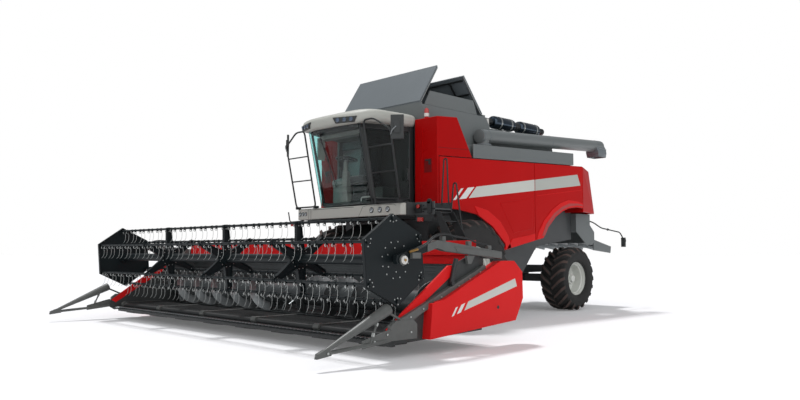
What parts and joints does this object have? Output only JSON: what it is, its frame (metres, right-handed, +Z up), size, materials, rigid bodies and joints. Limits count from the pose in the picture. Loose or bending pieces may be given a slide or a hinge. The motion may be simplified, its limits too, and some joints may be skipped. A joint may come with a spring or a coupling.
{
  "type": "combine harvester",
  "caption": "Wheeled combine harvester with cab, grain tank, folded unloading auger, straw chopper and a wide reel header.",
  "frame": {"origin": "on the ground, under the centre of the whole machine's bounding box", "axes": "+X the machine's left-hand side, where the ladder is, +Y towards the straw chopper, +Z up; the header faces -Y"},
  "size_m": [7.124, 10.0232, 4.2795],
  "materials": {
    "red_paint": "gloss",
    "grey_paint": "satin",
    "dark_paint": "satin",
    "cream_plastic": "satin",
    "rim_paint": "satin",
    "reel_paint": "satin",
    "tyre_rubber": "matt",
    "belt_rubber": "matt",
    "tinted_glass": "clear",
    "seat_fabric": "woven",
    "chrome": "polished"
  },
  "bodies": {
    "machine": {"chassis_frame": "dark_paint", "front_axle": "grey_paint", "rear_axle": "grey_paint", "threshing_housing": "grey_paint", "engine": "dark_paint", "grain_tank": "grey_paint", "upper_deck": "grey_paint", "exhaust": "grey_paint", "rear_hood": "red_paint", "straw_chopper": "grey_paint", "rear_light_bar": "grey_paint", "platform": "grey_paint", "front_fascia": "cream_plastic", "cab_frame": "dark_paint", "cab_glazing": "tinted_glass", "cab_roof": "cream_plastic", "operator_seat": "seat_fabric", "steering_column": "grey_paint", "column_panel_left": "red_paint", "column_panel_right": "red_paint", "mirror_frame_left": "dark_paint", "mirror_frame_right": "dark_paint"},
    "front_wheel_left_body": {"front_tyre_left": "tyre_rubber", "front_rim_left": "rim_paint"},
    "front_wheel_right_body": {"front_tyre_right": "tyre_rubber", "front_rim_right": "rim_paint"},
    "steer_left_body": {"rear_knuckle_left": "dark_paint"},
    "rear_wheel_left_body": {"rear_tyre_left": "tyre_rubber", "rear_rim_left": "rim_paint"},
    "steer_right_body": {"rear_knuckle_right": "dark_paint"},
    "rear_wheel_right_body": {"rear_tyre_right": "tyre_rubber", "rear_rim_right": "rim_paint"},
    "gusset_left_body": {"tank_gusset_left": "grey_paint"},
    "gusset_right_body": {"tank_gusset_right": "grey_paint"},
    "panel_front_left_body": {"side_panel_front_left": "red_paint"},
    "panel_front_right_body": {"side_panel_front_right": "red_paint"},
    "panel_rear_left_body": {"side_panel_rear_left": "red_paint"},
    "panel_rear_right_body": {"side_panel_rear_right": "red_paint"},
    "flap_front_body": {"tank_flap_front": "grey_paint"},
    "flap_rear_body": {"tank_flap_rear": "grey_paint"},
    "auger_body": {"unloading_auger": "red_paint"},
    "ladder_body": {"ladder": "dark_paint"},
    "cab_door_body": {"cab_door": "dark_paint", "cab_door_glass": "tinted_glass"},
    "header_lift_body": {"feeder_house": "grey_paint", "header_frame": "red_paint", "header_belts": "belt_rubber", "divider_left": "grey_paint", "divider_right": "grey_paint"},
    "header_auger_turn_body": {"header_auger": "grey_paint"},
    "header_cover_left_body": {"header_cover_left": "red_paint"},
    "header_cover_right_body": {"header_cover_right": "red_paint"},
    "reel_lift_body": {"reel_arms": "grey_paint"},
    "reel_turn_body": {"reel_rotor": "reel_paint"},
    "bat_feather_1_body": {"reel_bat_1": "reel_paint"},
    "bat_feather_2_body": {"reel_bat_2": "reel_paint"},
    "bat_feather_3_body": {"reel_bat_3": "reel_paint"},
    "bat_feather_4_body": {"reel_bat_4": "reel_paint"},
    "bat_feather_5_body": {"reel_bat_5": "reel_paint"},
    "bat_feather_6_body": {"reel_bat_6": "reel_paint"}
  },
  "joints": [
    {"name": "front_wheel_left", "type": "hinge", "parent": "machine", "child": "front_wheel_left_body", "pos_m": [1.49, -0.40845, 0.82984], "axis": [1, 0, 0], "continuous": true},
    {"name": "front_wheel_right", "type": "hinge", "parent": "machine", "child": "front_wheel_right_body", "pos_m": [-1.49, -0.40845, 0.82984], "axis": [1, 0, 0], "continuous": true},
    {"name": "steer_left", "type": "hinge", "parent": "machine", "child": "steer_left_body", "pos_m": [0.77, 3.16155, 0.62064], "axis": [0, 0, 1], "range_deg": [-20, 20]},
    {"name": "rear_wheel_left", "type": "hinge", "parent": "steer_left_body", "child": "rear_wheel_left_body", "pos_m": [1.14, 3.16155, 0.62064], "axis": [1, 0, 0], "continuous": true},
    {"name": "steer_right", "type": "hinge", "parent": "machine", "child": "steer_right_body", "pos_m": [-0.77, 3.16155, 0.62064], "axis": [0, 0, 1], "range_deg": [-20, 20]},
    {"name": "rear_wheel_right", "type": "hinge", "parent": "steer_right_body", "child": "rear_wheel_right_body", "pos_m": [-1.14, 3.16155, 0.62064], "axis": [1, 0, 0], "continuous": true},
    {"name": "gusset_left", "type": "hinge", "parent": "machine", "child": "gusset_left_body", "pos_m": [0.988, -0.40845, 3.5703], "axis": [0, -1, 0], "range_deg": [0, 90]},
    {"name": "gusset_right", "type": "hinge", "parent": "machine", "child": "gusset_right_body", "pos_m": [-0.988, -0.40845, 3.5703], "axis": [0, 1, 0], "range_deg": [0, 90]},
    {"name": "panel_front_left", "type": "hinge", "parent": "machine", "child": "panel_front_left_body", "pos_m": [1.444, -0.95644, 2.63918], "axis": [0, -0.999, -0.0453], "range_deg": [0, 80]},
    {"name": "panel_front_right", "type": "hinge", "parent": "machine", "child": "panel_front_right_body", "pos_m": [-1.444, -0.95644, 2.63918], "axis": [0, 0.999, 0.0453], "range_deg": [0, 80]},
    {"name": "panel_rear_left", "type": "hinge", "parent": "machine", "child": "panel_rear_left_body", "pos_m": [1.444, 1.63655, 2.75664], "axis": [0, -0.999, -0.0453], "range_deg": [0, 80]},
    {"name": "panel_rear_right", "type": "hinge", "parent": "machine", "child": "panel_rear_right_body", "pos_m": [-1.444, 1.63655, 2.75664], "axis": [0, 0.999, 0.0453], "range_deg": [0, 80]},
    {"name": "flap_front", "type": "hinge", "parent": "machine", "child": "flap_front_body", "pos_m": [0, -0.88845, 3.6], "axis": [-1, 0, 0], "range_deg": [0, 57]},
    {"name": "flap_rear", "type": "hinge", "parent": "machine", "child": "flap_rear_body", "pos_m": [0, 0.71156, 3.6], "axis": [1, 0, 0], "range_deg": [0, 50.5]},
    {"name": "auger_swing", "type": "hinge", "parent": "machine", "child": "auger_body", "pos_m": [1.25, 0.39155, 3.135], "axis": [0, 0, -1], "range_deg": [0, 100]},
    {"name": "ladder_fold", "type": "hinge", "parent": "machine", "child": "ladder_body", "pos_m": [1.7703, -0.40845, 1.73], "axis": [0, -1, 0], "range_deg": [0, 90]},
    {"name": "cab_door_swing", "type": "hinge", "parent": "machine", "child": "cab_door_body", "pos_m": [0.63112, -1.65401, 1.89903], "axis": [0, 0.2227, -0.9749], "range_deg": [0, 45]},
    {"name": "header_lift", "type": "hinge", "parent": "machine", "child": "header_lift_body", "pos_m": [0, -0.82374, 1.4], "axis": [-1, 0, 0], "range_deg": [-1, 14]},
    {"name": "header_auger_turn", "type": "hinge", "parent": "header_lift_body", "child": "header_auger_turn_body", "pos_m": [0, -2.78844, 0.52], "axis": [1, 0, 0], "continuous": true},
    {"name": "header_cover_swing_left", "type": "hinge", "parent": "header_lift_body", "child": "header_cover_left_body", "pos_m": [3.55, -3.45845, 0.4], "axis": [0, 0, -1], "range_deg": [0, 75]},
    {"name": "header_cover_swing_right", "type": "hinge", "parent": "header_lift_body", "child": "header_cover_right_body", "pos_m": [-3.55, -3.45845, 0.4], "axis": [0, 0, 1], "range_deg": [0, 75]},
    {"name": "reel_lift", "type": "hinge", "parent": "header_lift_body", "child": "reel_lift_body", "pos_m": [0, -2.16845, 1.1], "axis": [-1, 0, 0], "range_deg": [-4, 14]},
    {"name": "reel_turn", "type": "hinge", "parent": "reel_lift_body", "child": "reel_turn_body", "pos_m": [0, -3.84245, 1.055], "axis": [-1, 0, 0], "continuous": true},
    {"name": "bat_feather_1", "type": "hinge", "parent": "reel_turn_body", "child": "bat_feather_1_body", "pos_m": [0, -3.87783, 1.50461], "axis": [1, 0, 0], "continuous": true},
    {"name": "bat_feather_2", "type": "hinge", "parent": "reel_turn_body", "child": "bat_feather_2_body", "pos_m": [0, -4.24951, 1.24916], "axis": [1, 0, 0], "continuous": true},
    {"name": "bat_feather_3", "type": "hinge", "parent": "reel_turn_body", "child": "bat_feather_3_body", "pos_m": [0, -4.21413, 0.79955], "axis": [1, 0, 0], "continuous": true},
    {"name": "bat_feather_4", "type": "hinge", "parent": "reel_turn_body", "child": "bat_feather_4_body", "pos_m": [0, -3.80706, 0.60539], "axis": [1, 0, 0], "continuous": true},
    {"name": "bat_feather_5", "type": "hinge", "parent": "reel_turn_body", "child": "bat_feather_5_body", "pos_m": [0, -3.43538, 0.86084], "axis": [1, 0, 0], "continuous": true},
    {"name": "bat_feather_6", "type": "hinge", "parent": "reel_turn_body", "child": "bat_feather_6_body", "pos_m": [0, -3.47076, 1.31045], "axis": [1, 0, 0], "continuous": true}
  ],
  "couplings": [
    {"joint": "steer_right", "follows": "steer_left", "ratio": 1},
    {"joint": "bat_feather_1", "follows": "reel_turn", "ratio": 1},
    {"joint": "bat_feather_2", "follows": "reel_turn", "ratio": 1},
    {"joint": "bat_feather_3", "follows": "reel_turn", "ratio": 1},
    {"joint": "bat_feather_4", "follows": "reel_turn", "ratio": 1},
    {"joint": "bat_feather_5", "follows": "reel_turn", "ratio": 1},
    {"joint": "bat_feather_6", "follows": "reel_turn", "ratio": 1}
  ]
}
